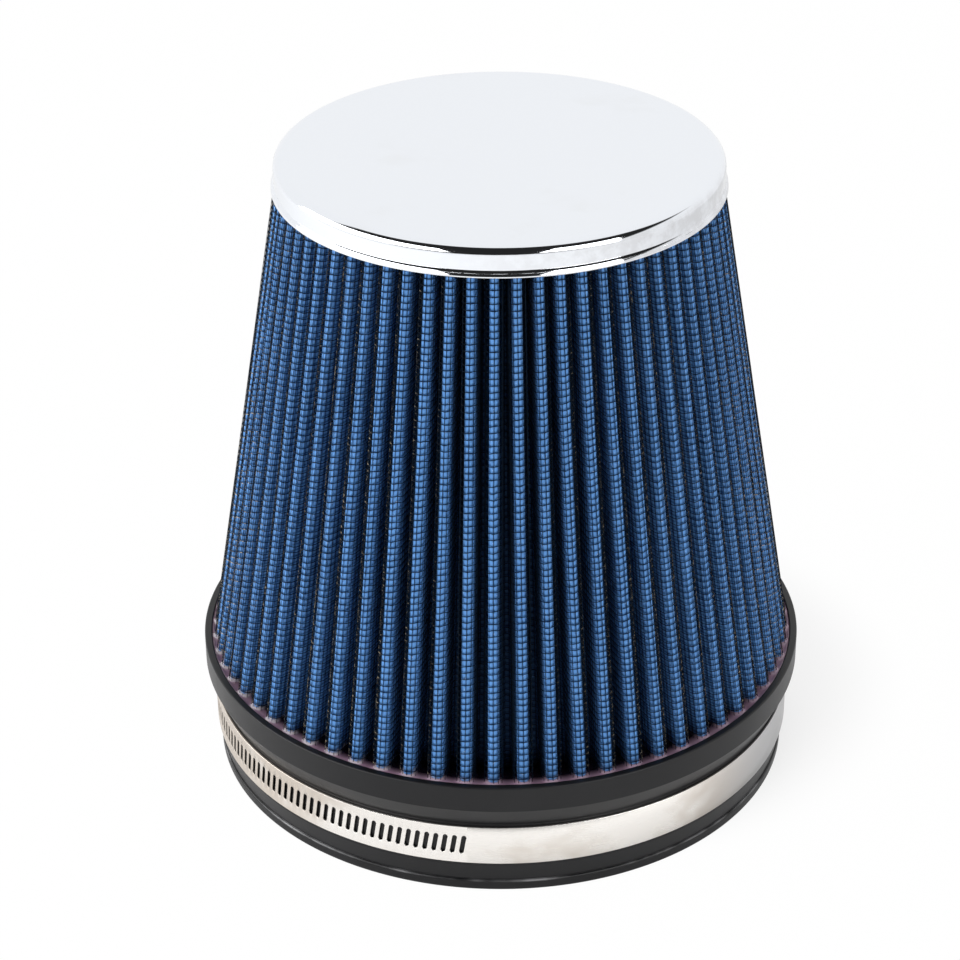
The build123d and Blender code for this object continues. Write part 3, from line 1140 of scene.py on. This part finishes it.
def place_camera():
    """The photograph's camera: looking down the pitch, turned by the yaw, rolled about its own line."""
    ahead = Vector((
        math.sin(camera_yaw) * math.cos(camera_pitch),
        math.cos(camera_yaw) * math.cos(camera_pitch),
        -math.sin(camera_pitch),
    ))
    right = Vector((math.cos(camera_yaw), -math.sin(camera_yaw), 0))
    up = right.cross(ahead)
    rolled_right = math.cos(camera_roll) * right + math.sin(camera_roll) * up
    rolled_up = math.cos(camera_roll) * up - math.sin(camera_roll) * right
    data = bpy.data.cameras.new("camera")
    data.lens = camera_lens
    data.sensor_width = camera_sensor
    data.clip_start = camera_near
    camera = bpy.data.objects.new("camera", data)
    turn = Matrix((rolled_right, rolled_up, -ahead)).transposed().to_4x4()
    camera.matrix_world = Matrix.Translation(camera_place) @ turn
    bpy.context.scene.collection.objects.link(camera)
    bpy.context.scene.camera = camera


place_camera()


# Floor, light and world

floor_half = 3.0
shadow_middle = (0.025, 0.03, 0)
softbox_aim = (0, 0, 0.95)
softbox_height = 0.85


def softbox(name, place, width, roll, power):
    """A soft area light at a place, leaned back to its aim and rolled about that line."""
    data = bpy.data.lights.new(name, "AREA")
    data.shape = "RECTANGLE"
    data.size = width
    data.size_y = softbox_height
    data.energy = power
    light = bpy.data.objects.new(name, data)
    facing = (Vector(softbox_aim) - Vector(place)).to_track_quat("-Z", "Y").to_matrix().to_4x4()
    light.matrix_world = Matrix.Translation(place) @ facing @ Matrix.Rotation(roll, 4, "Z")
    bpy.context.scene.collection.objects.link(light)


def ray_kinds(tree):
    """1 or 0 for a ray from the camera, from a mirror and through glass."""
    path = tree.node("ShaderNodeLightPath").socket.node.outputs
    names = ("Is Camera Ray", "Is Glossy Ray", "Is Transmission Ray")
    return [Tone(tree.tree, path[name]) for name in names]


def pale_floor():
    """A wide pale floor that keeps the filter's shadow and shows white away from it.

    A mirror sees it by the light that falls on it near the filter, and white far off.
    """
    edges = np.array([[-1, -1], [1, -1], [1, 1], [-1, 1]]) * floor_half
    mesh = bpy.data.meshes.new("floor")
    mesh.from_pydata(np.c_[edges, np.full(4, cad_box[0][2])].tolist(), [], [(0, 1, 2, 3)])
    floor = bpy.data.objects.new("floor", mesh)
    bpy.context.scene.collection.objects.link(floor)
    material, tree, place = new_material("pale_floor")
    camera, glossy, through = ray_kinds(tree)
    off = tree.node(
        "ShaderNodeVectorMath", {"operation": "DISTANCE"}, {0: place, 1: shadow_middle}, "Value"
    )
    away = off.ramp(0.07, 0.108, 0.7, 0.99)
    mirrored = off.ramp(0.4, 1.3, 0.3, 0.92)
    share = (camera.larger(through) * away).larger(glossy * mirrored)
    diffuse = tree.node("ShaderNodeBsdfDiffuse", None, {"Color": (0.97, 0.97, 0.97, 1)})
    glow = tree.node("ShaderNodeEmission", None, {"Color": (1, 1, 1, 1), "Strength": 1.0})
    mixed = tree.node("ShaderNodeMixShader", None, {0: share, 1: diffuse, 2: glow})
    end_tree(tree, mixed, "ShaderNodeOutputMaterial")
    mesh.materials.append(material)


def studio_world():
    """A studio, white behind the filter, overhead and to both sides, and dark in front.

    The camera sees plain white all round.
    """
    world = bpy.data.worlds.new("studio")
    bpy.context.scene.world = world
    world.use_nodes = True
    world.node_tree.nodes.clear()
    tree = Tone(world.node_tree)
    x, y, z = tree.node("ShaderNodeTexCoord", None, None, "Generated").parts()
    behind = (y - 0.19 * x).ramp(0.16, 0.34)
    overhead = (z + 0.6 * y + 0.07 * x).ramp(0.75, 0.84)
    walls = (x.size() + 0.5 * y - 0.9 * z).ramp(0.38, 0.62)
    camera, _, through = ray_kinds(tree)
    white = behind.larger(overhead).larger(walls)
    level = white.ramp(0.0, 1.0, 0.02, 0.95).larger(camera).larger(through)
    background = tree.node(
        "ShaderNodeBackground", None, {"Color": (1, 1, 1, 1), "Strength": level}
    )
    end_tree(tree, background, "ShaderNodeOutputWorld")


softbox("softbox_left", (-1.10, -0.45, 0.62), width=2.1, roll=math.radians(8), power=25.5)
softbox("softbox_right", (0.80, -0.90, 0.62), width=0.8, roll=math.radians(-12), power=9.3)
pale_floor()
studio_world()
bpy.context.scene.view_settings.view_transform = "Standard"
